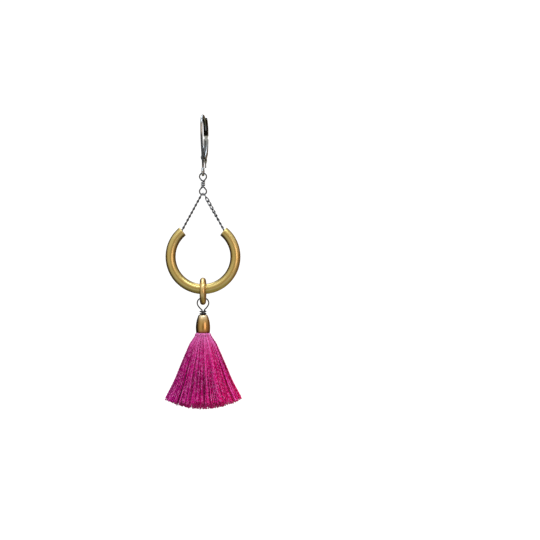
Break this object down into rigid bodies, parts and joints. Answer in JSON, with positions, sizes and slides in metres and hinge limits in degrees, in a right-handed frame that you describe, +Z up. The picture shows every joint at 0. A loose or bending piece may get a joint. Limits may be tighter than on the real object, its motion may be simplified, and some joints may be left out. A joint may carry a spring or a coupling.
{
  "type": "duster earring",
  "caption": "Leverback duster earring with an open brass hoop on a fine dark chain, a brass ring and a long magenta silk tassel in a brass cap.",
  "frame": {"origin": "middle of the ear wire at the top of its arch, where the earring hangs from the ear", "axes": "+Z up along the hanging earring, +X to the right across the hoop, +Y to the back, towards the wearer's neck"},
  "size_m": [0.0235, 0.0235, 0.0885],
  "materials": {
    "polished_silver": "polished silver",
    "dark_silver": "oxidised silver, satin",
    "aged_brass": "polished brass with a dark aged patina",
    "warm_brass": "polished brass with a warm patina",
    "satin_brass": "satin brass",
    "silk_thread": "glossy twisted thread"
  },
  "bodies": {
    "ear_wire": {"ear_hook": "polished_silver", "lever_rivet": "polished_silver"},
    "lever": {"lever": "polished_silver"},
    "link": {"wrapped_link": "dark_silver"},
    "hoop": {"curved_tube": "aged_brass", "chain": "dark_silver"},
    "ring": {"jump_ring": "warm_brass"},
    "tassel_drop": {"cap_wire": "dark_silver", "tassel_cap": "satin_brass", "tassel": "silk_thread"}
  },
  "joints": [
    {"name": "lever_hinge", "type": "hinge", "parent": "ear_wire", "child": "lever", "pos_m": [0.00014, 0.00109, -0.0124], "axis": [-0.9914, 0.1305, 0], "range_deg": [0, 40]},
    {"name": "link_swing", "type": "hinge", "parent": "ear_wire", "child": "link", "pos_m": [0, 0, -0.01787], "axis": [0, 1, 0], "range_deg": [-40, 40]},
    {"name": "hoop_swing", "type": "hinge", "parent": "link", "child": "hoop", "pos_m": [0, 0, -0.02369], "axis": [1, 0, 0], "range_deg": [-60, 60]},
    {"name": "ring_swing", "type": "hinge", "parent": "hoop", "child": "ring", "pos_m": [0, 0, -0.05202], "axis": [1, 0, 0], "range_deg": [-75, 75]},
    {"name": "tassel_swing", "type": "hinge", "parent": "ring", "child": "tassel_drop", "pos_m": [0, 0, -0.05589], "axis": [0, 1, 0], "range_deg": [-40, 40]}
  ]
}
